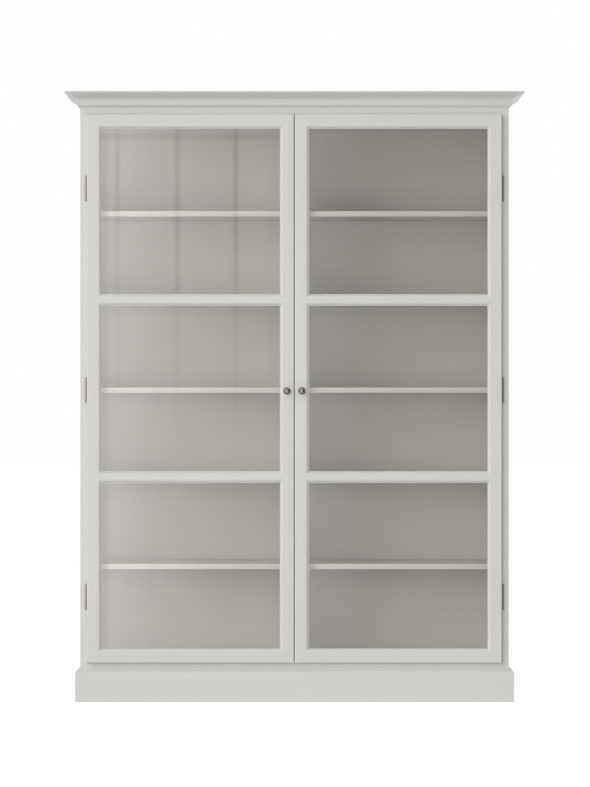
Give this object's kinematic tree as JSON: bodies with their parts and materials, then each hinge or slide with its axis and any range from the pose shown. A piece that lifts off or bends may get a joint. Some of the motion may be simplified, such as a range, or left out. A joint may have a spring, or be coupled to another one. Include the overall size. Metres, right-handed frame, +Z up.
{
  "type": "bookcase with glass doors",
  "caption": "Tall painted bookcase with a cove crown, a plinth, loose shelves on pins and hinged glazed doors with turned knobs.",
  "frame": {"origin": "centre of the footprint, on the floor", "axes": "+X to the right seen from the front, +Y to the back, +Z up"},
  "size_m": [1.56, 0.42, 2.074],
  "materials": {
    "painted_wood": "satin paint",
    "painted_back": "satin paint",
    "glass": "clear float",
    "knob_metal": "dark pewter",
    "hinge_metal": "satin nickel",
    "zinc_steel": "zinc plate",
    "catch_plastic": "moulded"
  },
  "bodies": {
    "carcass": {"back_panel": "painted_back", "bottom_frame_rail": "painted_wood", "bottom_panel": "painted_wood", "centre_partition": "painted_wood", "crown_front": "painted_wood", "crown_left_return": "painted_wood", "crown_right_return": "painted_wood", "dust_board": "painted_wood", "frame_hinge_leaves": "hinge_metal", "frame_hinge_screws": "zinc_steel", "hinge_pins": "hinge_metal", "left_frame_stile": "painted_wood", "left_shelf_1": "painted_wood", "left_shelf_2": "painted_wood", "left_shelf_3": "painted_wood", "left_shelf_4": "painted_wood", "left_shelf_5": "painted_wood", "left_side_panel": "painted_wood", "magnetic_catches": "catch_plastic", "plinth_front": "painted_wood", "plinth_left_return": "painted_wood", "plinth_right_return": "painted_wood", "right_frame_stile": "painted_wood", "right_shelf_1": "painted_wood", "right_shelf_2": "painted_wood", "right_shelf_3": "painted_wood", "right_shelf_4": "painted_wood", "right_shelf_5": "painted_wood", "right_side_panel": "painted_wood", "shelf_pins": "zinc_steel", "top_frame_rail": "painted_wood", "top_panel": "painted_wood"},
    "left_door": {"left_door_bottom_pane": "glass", "left_door_bottom_rail": "painted_wood", "left_door_glazing_beads": "painted_wood", "left_door_hinge_leaves": "hinge_metal", "left_door_hinge_stile": "painted_wood", "left_door_knob": "knob_metal", "left_door_lower_glazing_rail": "painted_wood", "left_door_meeting_stile": "painted_wood", "left_door_middle_pane": "glass", "left_door_screws": "zinc_steel", "left_door_strike_plate": "zinc_steel", "left_door_top_pane": "glass", "left_door_top_rail": "painted_wood", "left_door_upper_glazing_rail": "painted_wood"},
    "right_door": {"right_door_bottom_pane": "glass", "right_door_bottom_rail": "painted_wood", "right_door_glazing_beads": "painted_wood", "right_door_hinge_leaves": "hinge_metal", "right_door_hinge_stile": "painted_wood", "right_door_knob": "knob_metal", "right_door_lower_glazing_rail": "painted_wood", "right_door_meeting_stile": "painted_wood", "right_door_middle_pane": "glass", "right_door_screws": "zinc_steel", "right_door_strike_plate": "zinc_steel", "right_door_top_pane": "glass", "right_door_top_rail": "painted_wood", "right_door_upper_glazing_rail": "painted_wood"}
  },
  "joints": [
    {"name": "left_door_swing", "type": "hinge", "parent": "carcass", "child": "left_door", "pos_m": [-0.7093, -0.1595, 1.061], "axis": [0, 0, -1], "range_deg": [0, 100]},
    {"name": "right_door_swing", "type": "hinge", "parent": "carcass", "child": "right_door", "pos_m": [0.7093, -0.1595, 1.061], "axis": [0, 0, 1], "range_deg": [0, 100]}
  ]
}
